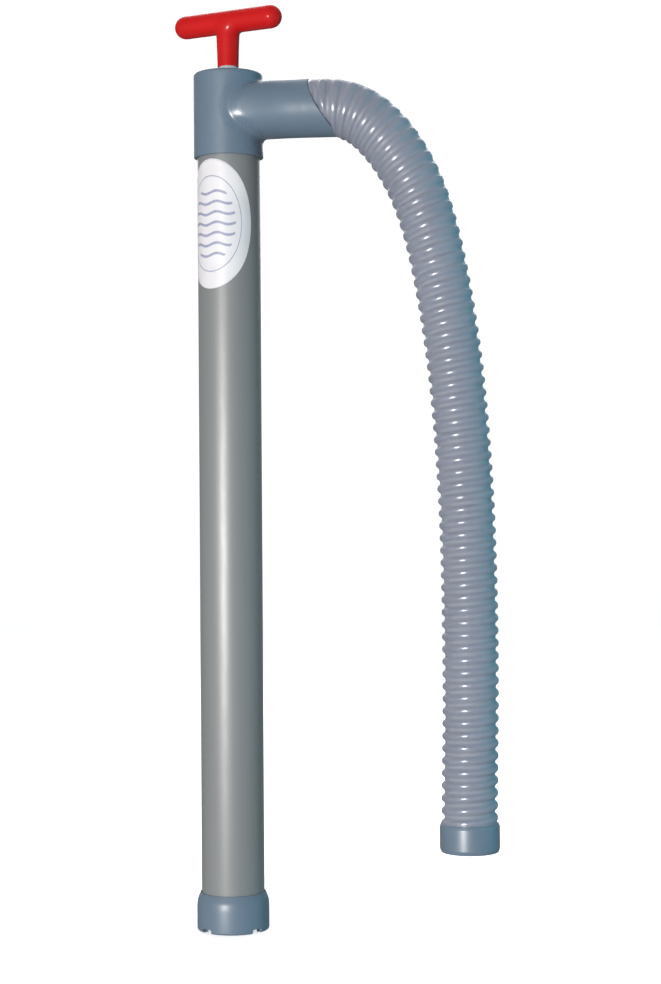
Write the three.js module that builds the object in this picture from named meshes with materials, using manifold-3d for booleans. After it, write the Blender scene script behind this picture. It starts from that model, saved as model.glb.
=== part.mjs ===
// Manual bilge pump: a plastic barrel with a foot valve, a sliding piston on a
// T-handled rod, a tee-shaped head and a corrugated discharge hose.
// Millimetres, +Z up along the barrel, +X along the spout.
// The origin is the middle of the foot's underside, on the barrel's axis.

import * as THREE from 'three';
import { mergeVertices } from 'three/addons/utils/BufferGeometryUtils.js';
import Module from 'manifold-3d';

const wasm = await Module();
wasm.setup();

// ---- driving dimensions ----

const GAP = 0.3;            // clearance between neighbouring pieces
const FINE = 48;            // facets on the large round pieces
const COARSE = 32;          // facets on the small round pieces
const PAST = 1;             // how far a cutting tool runs past a face

// barrel: 1 1/4 in plastic pipe, 42.2 mm across
const TUBE_R = 21.1;
const BORE_R = 18.7;
const TUBE_BOTTOM = 14.6;
const TUBE_TOP = 534.5;
const STROKE = 450;

// head tee
const HEAD_R = 22.4;
const HEAD_BOTTOM = 519.4;
const HEAD_TOP = 576.3;
const HEAD_RIM_ROUND = 2;
const HEAD_LOWER_ROUND = 0.6;
const HEAD_BORE_R = 18.9;
const SOCKET_R = 21.45;     // takes the tube, in the head and in the foot

// spout
const SPOUT_Z = 551;
const SPOUT_ROOT_R = 19;
const SPOUT_SWELL = 0.2316;   // how much wider than high the spout is where it leaves the head
const SPOUT_SWELL_X = 13;
const SPOUT_SWELL_NOSE = 21;
const SPOUT_SWELL_TAIL = 36;
const SPOUT_STATIONS = [0, 3, 6, 9.5, 13, 17, 21, 25.5, 30, 35, 40, 49];
const SPOUT_MOUTH_R = 19.8;
const SPOUT_LONGEST = 76.9;   // reach of the mouth's lower lip
const SPOUT_SHORTEST = 55.3;  // reach of the mouth's upper lip
const SPOUT_BLANK = 82;       // reach of the spout before its mouth is cut
const MOUTH_BLOCK = 80;       // size of the block that cuts the mouth
const SPOUT_BORE_R = 16;
const SPOUT_SOCKET_R = 18.9;
const HOSE_START_X = 41;

// hose and its cuff
const HOSE_R = 18;
const HOSE_BORE_R = 15.6;
const HOSE_SIDES = 12;
const HOSE_STEPS = 40;
const CUFF_R = 19.85;
const CUFF_BORE_R = 18.7;
const CUFF_BOTTOM = 56.4;
const CUFF_TOP = 75.3;
const CUFF_LIP = 1.7;

// hose centreline, [X, Z] in the plane Y = 0
const HOSE_ROUTE = [
  [HOSE_START_X, SPOUT_Z], [54, 551], [67.2, 551], [80.8, 549], [93.4, 542.8],
  [104.6, 532.6], [114.6, 519.8], [123.1, 505.3], [129.9, 490], [135.3, 473.7],
  [139.7, 456.7], [144.8, 431.7], [149.5, 403], [153.7, 370], [157.2, 330],
  [159.9, 285], [161.3, 240], [161.9, 195], [161.8, 150], [161.2, 110],
  [160.8, 80], [160.8, CUFF_BOTTOM + CUFF_LIP + GAP],
];

// foot cap
const FOOT_R = 24.35;
const FOOT_TOP = 25.4;
const FOOT_SHOULDER = 22.4;
const FOOT_LOWER_ROUND = 1.6;
const FOOT_MOUTH_R = 21.9;
const FOOT_SKIRT_BORE_R = 20.5;
const FOOT_LEDGE_R = 17.5;    // bore of the ledge that holds the valve seat
const FOOT_LEDGE_BOTTOM = 4.5;
const FOOT_LEDGE_TOP = 8;
const NOTCH_COUNT = 4;
const NOTCH_WIDTH = 8.5;
const NOTCH_HEIGHT = 3;
const NOTCH_DEPTH = 8;
const NOTCH_ANGLE = -34;

// foot valve: a seat with a central post that reaches the floor, and a disc
const SEAT_R = 21.1;
const SEAT_BOTTOM = FOOT_LEDGE_TOP + GAP;
const SEAT_TOP = 13.7;
const SEAT_POST_R = 5.6;
const INLET_COUNT = 4;
const INLET_R = 4.4;
const INLET_CIRCLE_R = 10.6;
const INLET_FACETS = 12;
const VALVE_PIN_R = 2;
const VALVE_PIN_HEAD_R = 5.5;
const VALVE_PIN_HEAD_HEIGHT = 2;
const VALVE_PIN_CHAMFER = 0.8;
const VALVE_DISC_R = 16;
const VALVE_DISC_THICK = 2;
const VALVE_LIFT = 3;

// rod, its stop and its guide
const ROD_R = 6.35;
const ROD_BORE_R = 4.2;
const ROD_BOTTOM = 42.1;
const ROD_TOP = 600;
const GUIDE_R = 18.5;
const GUIDE_BOTTOM = 567.8;
const GUIDE_BORE_R = ROD_R + GAP;
const SEAL_GROOVE_R = 9.4;
const SEAL_GROOVE_BOTTOM = 570.7;
const SEAL_GROOVE_HEIGHT = 2.8;
const SEAL_RING_R = 7.95;
const SEAL_WIRE_R = 1.1;
const COLLAR_R = 10;
const COLLAR_HEIGHT = 10;
const COLLAR_TOP = GUIDE_BOTTOM - STROKE - GAP;

// piston, from its screw head upwards
const SCREW_SHANK_R = 2.4;
const SCREW_HEAD_R = 4.4;
const SCREW_HEAD_BOTTOM = 22.2;
const SCREW_HEAD_TOP = 25.6;
const SCREW_TOP = 57.6;
const SCREW_CHAMFER = 0.8;
const SCREW_SLOT_WIDTH = 1.2;
const SCREW_SLOT_DEPTH = 1.4;
const PLUG_TOP = 63.6;
const WASHER_R = 7;
const WASHER_THICK = 1.5;
const PISTON_FLANGE_R = 16.5;
const PISTON_FLANGE_THICK = 4;
const PISTON_HUB_R = 8;
const PISTON_BORE_R = 2.8;
const CUP_BASE_BORE_R = 12.5;
const CUP_BASE_THICK = 3;
const CUP_R = 18.4;
const CUP_LIP_THICK = 1.3;
const CUP_LIP_HEIGHT = 7;
const CUP_LIP_FLARE = 0.4;
const CUP_LIFT = 2.5;
const RETAINER_R = 16.2;
const RETAINER_THICK = 3;
const RETAINER_ARM_WIDTH = 5;
const RETAINER_ARM_COUNT = 4;
const RETAINER_ARM_ROOT_R = 6;

// handle
const GRIP_R = 7.7;
const GRIP_LENGTH = 81.6;
const GRIP_FACETS = 24;
const GRIP_END_STEPS = 6;
const GRIP_Z = 611.4;
const GRIP_ANGLE = -17;
const STEM_TOP_R = 7.85;
const STEM_BOTTOM_R = 7.2;
const STEM_BOTTOM = 581;

// label
const LABEL_TURN = -110.6;
const LABEL_HALF_ANGLE = 78;
const LABEL_BOTTOM = 430;
const LABEL_TOP = 516.6;
const LABEL_INNER_R = TUBE_R + 0.2;
const LABEL_OUTER_R = TUBE_R + 0.4;

// ---- materials ----

function plastic(colour, roughness) {
  return new THREE.MeshStandardMaterial({ color: colour, roughness, metalness: 0 });
}

function steel() {
  return new THREE.MeshStandardMaterial({ color: 0xb9bcc0, roughness: 0.3, metalness: 1 });
}

const BLUE_GREY = 0x6f8091;
const TUBE_GREY = 0x8b9092;
const HOSE_GREY = 0x8f95a5;
const HANDLE_RED = 0xcf2628;
const RUBBER_BLACK = 0x26272a;
const ROD_GREY = 0xc4c8cb;
const LABEL_WHITE = 0xf2f2f4;

// ---- solids ----

const radians = THREE.MathUtils.degToRad;

function toSolid(geometry) {
  const bare = geometry.clone();
  bare.deleteAttribute('normal');
  bare.deleteAttribute('uv');
  const merged = mergeVertices(bare, 1e-4);
  return new wasm.Manifold(new wasm.Mesh({
    numProp: 3,
    vertProperties: new Float32Array(merged.attributes.position.array),
    triVerts: new Uint32Array(merged.index.array),
  }));
}

function toGeometry(solid) {
  const mesh = solid.getMesh();
  const geometry = new THREE.BufferGeometry();
  geometry.setAttribute('position', new THREE.BufferAttribute(mesh.vertProperties, 3));
  geometry.setIndex(new THREE.BufferAttribute(mesh.triVerts, 1));
  geometry.computeVertexNormals();
  return geometry;
}

function join(geometries) {
  return geometries.map(toSolid).reduce((whole, piece) => whole.add(piece));
}

function cut(solid, tools) {
  return toGeometry(tools.reduce((rest, tool) => rest.subtract(toSolid(tool)), solid));
}

// a turned solid about +Z from [radius, z] points, listed upwards on the outside
function turned(profile, facets = FINE) {
  const points = profile.map(([r, z]) => new THREE.Vector2(r, z));
  return new THREE.LatheGeometry(points, facets).rotateX(Math.PI / 2);
}

function rod(radius, bottom, top, facets = FINE) {
  return turned([[0, bottom], [radius, bottom], [radius, top], [0, top]], facets);
}

function ring(inner, outer, bottom, top, facets = FINE) {
  const profile = [[inner, bottom], [outer, bottom], [outer, top], [inner, top], [inner, bottom]];
  return turned(profile, facets);
}

// points of a quarter circle about [r, z], from angle start to angle end in degrees
function arc(r, z, radius, start, end, steps = 4) {
  const points = [];
  for (let i = 0; i <= steps; i += 1) {
    const angle = radians(start + (end - start) * i / steps);
    points.push([r + radius * Math.cos(angle), z + radius * Math.sin(angle)]);
  }
  return points;
}

// the same tool repeated on a circle about +Z
function around(count, makeTool, startDegrees = 0) {
  const tools = [];
  for (let i = 0; i < count; i += 1) {
    tools.push(makeTool().rotateZ(radians(startDegrees + 360 * i / count)));
  }
  return tools;
}

// ---- barrel and head ----

function barrelTube() {
  return ring(BORE_R, TUBE_R, TUBE_BOTTOM, TUBE_TOP);
}

function headRun() {
  const top = arc(HEAD_R - HEAD_RIM_ROUND, HEAD_TOP - HEAD_RIM_ROUND, HEAD_RIM_ROUND, 0, 90);
  const lowerRound = HEAD_LOWER_ROUND;
  const bottom = arc(HEAD_R - lowerRound, HEAD_BOTTOM + lowerRound, lowerRound, -90, 0, 2);
  return turned([[0, HEAD_BOTTOM], ...bottom, ...top, [0, HEAD_TOP]]);
}

// turned solids below lie along +X, centred on the spout's axis
function alongSpout(geometry) {
  return geometry.rotateY(Math.PI / 2).translate(0, 0, SPOUT_Z);
}

// how many times wider than high the spout is at x
function spoutWidening(x) {
  const from = x - SPOUT_SWELL_X;
  const nose = 1 - (from / SPOUT_SWELL_NOSE) ** 2;
  const tail = (1 + Math.cos(Math.PI * Math.min(from / SPOUT_SWELL_TAIL, 1))) / 2;
  return 1 + SPOUT_SWELL * (from < 0 ? nose : tail);
}

function spoutBody() {
  const body = alongSpout(turned([
    [0, 0], ...SPOUT_STATIONS.map((x) => [SPOUT_ROOT_R, x]),
    [SPOUT_MOUTH_R, SPOUT_BLANK], [0, SPOUT_BLANK],
  ]));
  const points = body.attributes.position;
  for (let i = 0; i < points.count; i += 1) {
    points.setY(i, points.getY(i) * spoutWidening(points.getX(i)));
  }
  return body;
}

// a block whose near face is the slanting plane of the spout's mouth
function mouthBlock() {
  const slant = Math.atan2(SPOUT_LONGEST - SPOUT_SHORTEST, 2 * SPOUT_MOUTH_R);
  const middle = (SPOUT_LONGEST + SPOUT_SHORTEST) / 2;
  const block = new THREE.BoxGeometry(MOUTH_BLOCK, MOUTH_BLOCK, MOUTH_BLOCK);
  block.translate(MOUTH_BLOCK / 2, 0, 0).rotateY(slant);
  return block.translate(middle, 0, SPOUT_Z);
}

function headTee() {
  const tubeSocket = rod(SOCKET_R, HEAD_BOTTOM - PAST, TUBE_TOP + GAP);
  const chamber = rod(HEAD_BORE_R, TUBE_TOP, HEAD_TOP + PAST);
  const passage = alongSpout(rod(SPOUT_BORE_R, 0, HOSE_START_X));
  const hoseSocket = alongSpout(rod(SPOUT_SOCKET_R, HOSE_START_X - GAP, SPOUT_BLANK));
  return cut(join([headRun(), spoutBody()]), [
    mouthBlock(), tubeSocket, chamber, passage, hoseSocket,
  ]);
}

function rodGuide() {
  const grooveTop = SEAL_GROOVE_BOTTOM + SEAL_GROOVE_HEIGHT;
  return turned([
    [GUIDE_BORE_R, GUIDE_BOTTOM], [GUIDE_R, GUIDE_BOTTOM], [GUIDE_R, HEAD_TOP],
    [GUIDE_BORE_R, HEAD_TOP], [GUIDE_BORE_R, grooveTop], [SEAL_GROOVE_R, grooveTop],
    [SEAL_GROOVE_R, SEAL_GROOVE_BOTTOM], [GUIDE_BORE_R, SEAL_GROOVE_BOTTOM],
    [GUIDE_BORE_R, GUIDE_BOTTOM],
  ]);
}

function rodSeal() {
  const middle = SEAL_GROOVE_BOTTOM + SEAL_GROOVE_HEIGHT / 2;
  return turned(arc(SEAL_RING_R, middle, SEAL_WIRE_R, 0, 360, 10), COARSE);
}

// ---- foot and foot valve ----

function footNotch() {
  const notch = new THREE.BoxGeometry(NOTCH_DEPTH, NOTCH_WIDTH, NOTCH_HEIGHT * 2);
  return notch.translate(FOOT_R, 0, 0);
}

function footCap() {
  const lowerRound = arc(FOOT_R - FOOT_LOWER_ROUND, FOOT_LOWER_ROUND, FOOT_LOWER_ROUND, -90, 0, 3);
  const body = turned([
    [FOOT_LEDGE_R, FOOT_LEDGE_BOTTOM], [FOOT_SKIRT_BORE_R, FOOT_LEDGE_BOTTOM],
    [FOOT_SKIRT_BORE_R, 0], ...lowerRound, [FOOT_R, FOOT_SHOULDER], [FOOT_MOUTH_R, FOOT_TOP],
    [SOCKET_R, FOOT_TOP], [SOCKET_R, FOOT_LEDGE_TOP], [FOOT_LEDGE_R, FOOT_LEDGE_TOP],
    [FOOT_LEDGE_R, FOOT_LEDGE_BOTTOM],
  ]);
  return cut(toSolid(body), around(NOTCH_COUNT, footNotch, NOTCH_ANGLE));
}

function inletDrill() {
  const drill = rod(INLET_R, FOOT_LEDGE_BOTTOM, SEAT_TOP + PAST, INLET_FACETS);
  return drill.translate(INLET_CIRCLE_R, 0, 0);
}

function footValveSeat() {
  const bore = VALVE_PIN_R + GAP;
  const seat = turned([
    [0, 0], [SEAT_POST_R, 0], [SEAT_POST_R, SEAT_BOTTOM], [SEAT_R, SEAT_BOTTOM],
    [SEAT_R, SEAT_TOP], [bore, SEAT_TOP], [bore, FOOT_LEDGE_TOP], [0, FOOT_LEDGE_TOP],
  ], COARSE);
  return cut(toSolid(seat), around(INLET_COUNT, inletDrill));
}

const DISC_BOTTOM = SEAT_TOP + GAP;
const PIN_HEAD_BOTTOM = DISC_BOTTOM + VALVE_DISC_THICK + VALVE_LIFT + GAP;

function footValvePin() {
  const top = PIN_HEAD_BOTTOM + VALVE_PIN_HEAD_HEIGHT;
  return turned([
    [0, SEAT_BOTTOM], [VALVE_PIN_R, SEAT_BOTTOM], [VALVE_PIN_R, PIN_HEAD_BOTTOM],
    [VALVE_PIN_HEAD_R, PIN_HEAD_BOTTOM], [VALVE_PIN_HEAD_R, top - VALVE_PIN_CHAMFER],
    [VALVE_PIN_HEAD_R - VALVE_PIN_CHAMFER, top], [0, top],
  ], COARSE);
}

function footValveDisc() {
  const bore = VALVE_PIN_R + 2 * GAP;
  return ring(bore, VALVE_DISC_R, DISC_BOTTOM, DISC_BOTTOM + VALVE_DISC_THICK);
}

// ---- piston ----

const WASHER_BOTTOM = SCREW_HEAD_TOP + GAP;
const FLANGE_BOTTOM = WASHER_BOTTOM + WASHER_THICK + GAP;
const FLANGE_TOP = FLANGE_BOTTOM + PISTON_FLANGE_THICK;
const CUP_BOTTOM = FLANGE_TOP + GAP;
const CUP_BASE_TOP = CUP_BOTTOM + CUP_BASE_THICK;
const RETAINER_BOTTOM = CUP_BASE_TOP + CUP_LIFT + GAP;
const RETAINER_TOP = RETAINER_BOTTOM + RETAINER_THICK;
const HUB_TOP = RETAINER_BOTTOM - GAP;

function pistonBody() {
  return turned([
    [PISTON_BORE_R, FLANGE_BOTTOM], [PISTON_FLANGE_R, FLANGE_BOTTOM],
    [PISTON_FLANGE_R, FLANGE_TOP], [PISTON_HUB_R, FLANGE_TOP], [PISTON_HUB_R, HUB_TOP],
    [PISTON_BORE_R, HUB_TOP], [PISTON_BORE_R, FLANGE_BOTTOM],
  ]);
}

function pistonCup() {
  const lipTop = CUP_BASE_TOP + CUP_LIP_HEIGHT;
  const lipInner = CUP_R - CUP_LIP_THICK;
  return turned([
    [CUP_BASE_BORE_R, CUP_BOTTOM], [CUP_R - 2 * CUP_LIP_FLARE, CUP_BOTTOM],
    [CUP_R - CUP_LIP_FLARE, CUP_BASE_TOP], [CUP_R, lipTop], [lipInner, lipTop],
    [lipInner - CUP_LIP_FLARE, CUP_BASE_TOP], [CUP_BASE_BORE_R, CUP_BASE_TOP],
    [CUP_BASE_BORE_R, CUP_BOTTOM],
  ]);
}

// a hub with four arms that stops the cup's lift but lets the water past
function pistonRetainer() {
  const hub = ring(PISTON_BORE_R, PISTON_HUB_R, RETAINER_BOTTOM, RETAINER_TOP, COARSE);
  const middle = (RETAINER_BOTTOM + RETAINER_TOP) / 2;
  const armLength = RETAINER_R - RETAINER_ARM_ROOT_R;
  const makeArm = () => {
    const arm = new THREE.BoxGeometry(armLength, RETAINER_ARM_WIDTH, RETAINER_THICK);
    return arm.translate(RETAINER_R - armLength / 2, 0, middle);
  };
  return toGeometry(join([hub, ...around(RETAINER_ARM_COUNT, makeArm)]));
}

function pistonWasher() {
  return ring(SCREW_SHANK_R + GAP, WASHER_R, WASHER_BOTTOM, WASHER_BOTTOM + WASHER_THICK, COARSE);
}

function pistonScrew() {
  const screw = turned([
    [0, SCREW_HEAD_BOTTOM], [SCREW_HEAD_R - SCREW_CHAMFER, SCREW_HEAD_BOTTOM],
    [SCREW_HEAD_R, SCREW_HEAD_BOTTOM + SCREW_CHAMFER], [SCREW_HEAD_R, SCREW_HEAD_TOP],
    [SCREW_SHANK_R, SCREW_HEAD_TOP], [SCREW_SHANK_R, SCREW_TOP], [0, SCREW_TOP],
  ], COARSE);
  const slot = new THREE.BoxGeometry(3 * SCREW_HEAD_R, SCREW_SLOT_WIDTH, 2 * SCREW_SLOT_DEPTH);
  return cut(toSolid(screw), [slot.translate(0, 0, SCREW_HEAD_BOTTOM)]);
}

// ---- rod ----

function pumpRod() {
  return ring(ROD_BORE_R, ROD_R, ROD_BOTTOM, ROD_TOP, COARSE);
}

function rodEndPlug() {
  const bore = SCREW_SHANK_R + GAP;
  return ring(bore, ROD_BORE_R - GAP, ROD_BOTTOM, PLUG_TOP, COARSE);
}

function stopCollar() {
  return ring(ROD_R + GAP, COLLAR_R, COLLAR_TOP - COLLAR_HEIGHT, COLLAR_TOP, COARSE);
}

function handle() {
  const straight = GRIP_LENGTH - 2 * GRIP_R;
  const grip = new THREE.CapsuleGeometry(GRIP_R, straight, GRIP_END_STEPS, GRIP_FACETS);
  grip.rotateZ(Math.PI / 2 + radians(GRIP_ANGLE)).translate(0, 0, GRIP_Z);
  const stem = turned([
    [0, STEM_BOTTOM], [STEM_BOTTOM_R, STEM_BOTTOM], [STEM_TOP_R, GRIP_Z], [0, GRIP_Z],
  ], COARSE);
  const socket = rod(ROD_R + GAP, STEM_BOTTOM - PAST, ROD_TOP + GAP, COARSE);
  return cut(join([grip, stem]), [socket]);
}

// ---- hose and label ----

function circlePath(kind, radius, sides) {
  const path = new kind();
  for (let i = 0; i <= sides; i += 1) {
    const angle = 2 * Math.PI * (i + 0.5) / sides;
    const x = radius * Math.cos(angle);
    const y = radius * Math.sin(angle);
    if (i === 0) path.moveTo(x, y);
    else path.lineTo(x, y);
  }
  return path;
}

function hose() {
  const section = circlePath(THREE.Shape, HOSE_R, HOSE_SIDES);
  section.holes.push(circlePath(THREE.Path, HOSE_BORE_R, HOSE_SIDES));
  const points = HOSE_ROUTE.map(([x, z]) => new THREE.Vector3(x, 0, z));
  const centreline = new THREE.CatmullRomCurve3(points);
  return new THREE.ExtrudeGeometry(section, { extrudePath: centreline, steps: HOSE_STEPS });
}

function hoseCuff() {
  const lipTop = CUFF_BOTTOM + CUFF_LIP;
  return turned([
    [HOSE_BORE_R, CUFF_BOTTOM], [CUFF_R, CUFF_BOTTOM], [CUFF_R, CUFF_TOP],
    [CUFF_BORE_R, CUFF_TOP], [CUFF_BORE_R, lipTop], [HOSE_BORE_R, lipTop],
    [HOSE_BORE_R, CUFF_BOTTOM],
  ]);
}

// an oval patch wrapped on the barrel: a thin ring cut by an oval prism
function label() {
  const wrap = ring(LABEL_INNER_R, LABEL_OUTER_R, LABEL_BOTTOM - PAST, LABEL_TOP + PAST, 2 * FINE);
  const halfHeight = (LABEL_TOP - LABEL_BOTTOM) / 2;
  const outline = [];
  for (let i = 0; i < FINE; i += 1) {
    const turn = 2 * Math.PI * i / FINE;
    const across = LABEL_OUTER_R * Math.sin(radians(LABEL_HALF_ANGLE) * Math.cos(turn));
    outline.push(new THREE.Vector2(across, halfHeight * Math.sin(turn)));
  }
  const prism = new THREE.ExtrudeGeometry(new THREE.Shape(outline), {
    depth: LABEL_OUTER_R + PAST, bevelEnabled: false,
  });
  // the prism runs from the axis outwards, towards the middle of the label
  prism.rotateX(Math.PI / 2).rotateZ(radians(LABEL_TURN + 90));
  prism.translate(0, 0, (LABEL_BOTTOM + LABEL_TOP) / 2);
  return toGeometry(toSolid(wrap).intersect(toSolid(prism)));
}

// ---- assembly ----

const pump = new THREE.Group();

function place(name, geometry, material, x = 0) {
  const mesh = new THREE.Mesh(geometry, material);
  mesh.name = name;
  mesh.position.set(x, 0, 0);
  pump.add(mesh);
  return mesh;
}

place('barrel_tube', barrelTube(), plastic(TUBE_GREY, 0.3));
place('head_tee', headTee(), plastic(BLUE_GREY, 0.35));
place('rod_guide', rodGuide(), plastic(BLUE_GREY, 0.4));
place('rod_seal', rodSeal(), plastic(RUBBER_BLACK, 0.6));
place('label', label(), plastic(LABEL_WHITE, 0.3));

place('foot_cap', footCap(), plastic(BLUE_GREY, 0.35));
place('foot_valve_seat', footValveSeat(), plastic(BLUE_GREY, 0.4));
place('foot_valve_pin', footValvePin(), steel());
place('foot_valve_disc', footValveDisc(), plastic(RUBBER_BLACK, 0.6));

place('piston_screw', pistonScrew(), steel());
place('piston_washer', pistonWasher(), steel());
place('piston_body', pistonBody(), plastic(BLUE_GREY, 0.4));
place('piston_cup', pistonCup(), plastic(RUBBER_BLACK, 0.6));
place('piston_retainer', pistonRetainer(), plastic(BLUE_GREY, 0.4));

place('pump_rod', pumpRod(), plastic(ROD_GREY, 0.3));
place('rod_end_plug', rodEndPlug(), plastic(ROD_GREY, 0.4));
place('stop_collar', stopCollar(), plastic(BLUE_GREY, 0.4));
place('handle', handle(), plastic(HANDLE_RED, 0.35));

place('hose', hose(), plastic(HOSE_GREY, 0.4));
place('hose_cuff', hoseCuff(), plastic(BLUE_GREY, 0.35), HOSE_ROUTE.at(-1)[0]);

export default pump;
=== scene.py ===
"""A manual bilge pump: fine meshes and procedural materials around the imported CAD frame.

Lengths in this script are in metres. Positions come from the CAD nodes' boxes where they can,
and MM turns the few millimetre dimensions that the boxes don't give into metres.
"""
import math

import bmesh
import bpy
import numpy as np
from mathutils import Matrix, Vector


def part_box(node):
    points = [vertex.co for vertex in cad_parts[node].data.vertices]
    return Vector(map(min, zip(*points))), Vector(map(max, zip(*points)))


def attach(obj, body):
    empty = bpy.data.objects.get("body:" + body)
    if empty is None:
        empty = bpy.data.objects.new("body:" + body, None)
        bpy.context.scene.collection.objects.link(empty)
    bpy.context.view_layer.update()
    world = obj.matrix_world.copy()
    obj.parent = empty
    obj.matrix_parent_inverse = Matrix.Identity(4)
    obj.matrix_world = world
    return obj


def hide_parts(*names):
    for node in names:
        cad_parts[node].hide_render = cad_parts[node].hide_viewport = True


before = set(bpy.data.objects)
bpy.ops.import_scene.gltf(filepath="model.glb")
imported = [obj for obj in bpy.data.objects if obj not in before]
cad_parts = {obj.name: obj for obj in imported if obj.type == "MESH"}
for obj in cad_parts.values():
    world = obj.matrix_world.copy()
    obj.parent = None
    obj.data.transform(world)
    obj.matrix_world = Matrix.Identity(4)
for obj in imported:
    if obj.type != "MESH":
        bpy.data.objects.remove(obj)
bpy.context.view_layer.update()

MM = 0.001
TAU = 2 * math.pi

# ---------------------------------------------------------------- driving dimensions

SPOUT_Z = 551 * MM
HOSE_CREST_R = 18.65 * MM
HOSE_CREST_R_IN_BEND = 19.6 * MM
HOSE_END_R = 18.6 * MM
HOSE_RIB_DEPTH = 2.0 * MM
HOSE_RIB_DEPTH_IN_BEND = 1.0 * MM
HOSE_BORE_R = 15.1 * MM
HOSE_PITCH = 8.2 * MM
HOSE_COLUMNS = 96
HOSE_NARROWS = (0.05, 0.17)     # where along the route the hose draws in after the bend
HOSE_DEEPENS = (0.07, 0.28)     # and where its ribs grow deeper

# the hose's centreline as (X, Z) in the plane Y = 0, the same route as the CAD hose
HOSE_ROUTE = [
    (0.041, 0.551), (0.054, 0.551), (0.0672, 0.551), (0.0808, 0.549), (0.0934, 0.5428),
    (0.1046, 0.5326), (0.1146, 0.5198), (0.1231, 0.5053), (0.1299, 0.490), (0.1353, 0.4737),
    (0.1397, 0.4567), (0.1448, 0.4317), (0.1495, 0.403), (0.1537, 0.370), (0.1572, 0.330),
    (0.1599, 0.285), (0.1613, 0.240), (0.1619, 0.195), (0.1618, 0.150), (0.1612, 0.110),
    (0.1608, 0.080), (0.1608, 0.0584),
]

# ---------------------------------------------------------------- mesh helpers


def new_object(name, vertices, faces, smooth_angle=35.0):
    """A mesh object from points and faces, with doubled points merged and faces turned outwards."""
    mesh = bpy.data.meshes.new(name)
    mesh.from_pydata([tuple(v) for v in vertices], [], faces)
    work = bmesh.new()
    work.from_mesh(mesh)
    bmesh.ops.remove_doubles(work, verts=work.verts, dist=1e-6)
    bmesh.ops.dissolve_degenerate(work, edges=work.edges, dist=1e-7)
    bmesh.ops.recalc_face_normals(work, faces=work.faces)
    work.to_mesh(mesh)
    work.free()
    obj = bpy.data.objects.new(name, mesh)
    bpy.context.scene.collection.objects.link(obj)
    shade(obj, smooth_angle)
    return obj


def shade(obj, angle):
    """Smooth shading, with edges sharper than the angle kept crisp."""
    obj.data.shade_smooth()
    obj.data.set_sharp_from_angle(angle=math.radians(angle))


def grid_faces(rows, columns, close_rows=False, close_columns=True, offset=0):
    """Quads over a rows by columns grid of points numbered row by row."""
    faces = []
    for i in range(rows if close_rows else rows - 1):
        for j in range(columns if close_columns else columns - 1):
            a = offset + i * columns + j
            b = offset + i * columns + (j + 1) % columns
            c = offset + ((i + 1) % rows) * columns + (j + 1) % columns
            d = offset + ((i + 1) % rows) * columns + j
            faces.append((a, b, c, d))
    return faces


def arc(r, z, radius, start, end, steps=6):
    """Points [radius, height] round the corner centre (r, z), angles in degrees."""
    angles = np.radians(np.linspace(start, end, steps + 1))
    return [(r + radius * math.cos(a), z + radius * math.sin(a)) for a in angles]


def rounded(corners, radius=0.4 * MM, steps=4):
    """A closed profile whose corners are rounded; a corner may carry its own radius as a third value."""
    out = []
    count = len(corners)
    for i, corner in enumerate(corners):
        here = Vector(corner[:2])
        own = corner[2] if len(corner) > 2 else radius
        before = Vector(corners[i - 1][:2]) - here
        after = Vector(corners[(i + 1) % count][:2]) - here
        if own <= 0 or here.x < 1e-9:
            out.append(tuple(here))
            continue
        half = before.angle(after) / 2
        reach = min(own / math.tan(half), 0.45 * before.length, 0.45 * after.length)
        fitted = reach * math.tan(half)
        middle = here + (before.normalized() + after.normalized()).normalized() * (fitted / math.sin(half))
        first = here + before.normalized() * reach - middle
        last = here + after.normalized() * reach - middle
        turn = first.angle_signed(last)
        for k in range(steps + 1):
            step = Matrix.Rotation(-turn * k / steps, 2) @ first
            out.append(tuple(middle + step))
    return out


def turned(name, profile, segments=128, centre=(0.0, 0.0)):
    """A solid of revolution about a vertical axis from a profile that closes on itself or on the axis."""
    angles = np.linspace(0, TAU, segments, endpoint=False)
    points = []
    for r, z in profile:
        points.extend((centre[0] + r * math.cos(a), centre[1] + r * math.sin(a), z) for a in angles)
    on_axis = profile[0][0] < 1e-9 and profile[-1][0] < 1e-9
    return new_object(name, points, grid_faces(len(profile), segments, close_rows=not on_axis))


def ring_profile(inner, outer, bottom, top):
    return [(inner, bottom), (outer, bottom), (outer, top), (inner, top)]


def boolean_cut(obj, cutters):
    """Cuts the cutters' volume out of the object and removes them."""
    for cutter in cutters:
        modifier = obj.modifiers.new("cut", "BOOLEAN")
        modifier.operation = "DIFFERENCE"
        modifier.solver = "EXACT"
        modifier.object = cutter
        apply_modifiers(obj)
        bpy.data.objects.remove(cutter)


def apply_modifiers(obj):
    depsgraph = bpy.context.evaluated_depsgraph_get()
    mesh = bpy.data.meshes.new_from_object(obj.evaluated_get(depsgraph))
    obj.modifiers.clear()
    old = obj.data
    obj.data = mesh
    bpy.data.meshes.remove(old)


def finish_piece(obj, body, slot, material, *nodes):
    """Gives a fine piece its material and body, and hides the CAD nodes it stands for."""
    obj.data.materials.clear()
    obj.data.materials.append(material)
    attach(obj, body)
    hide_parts(*nodes)
    return obj


# ---------------------------------------------------------------- materials


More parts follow.
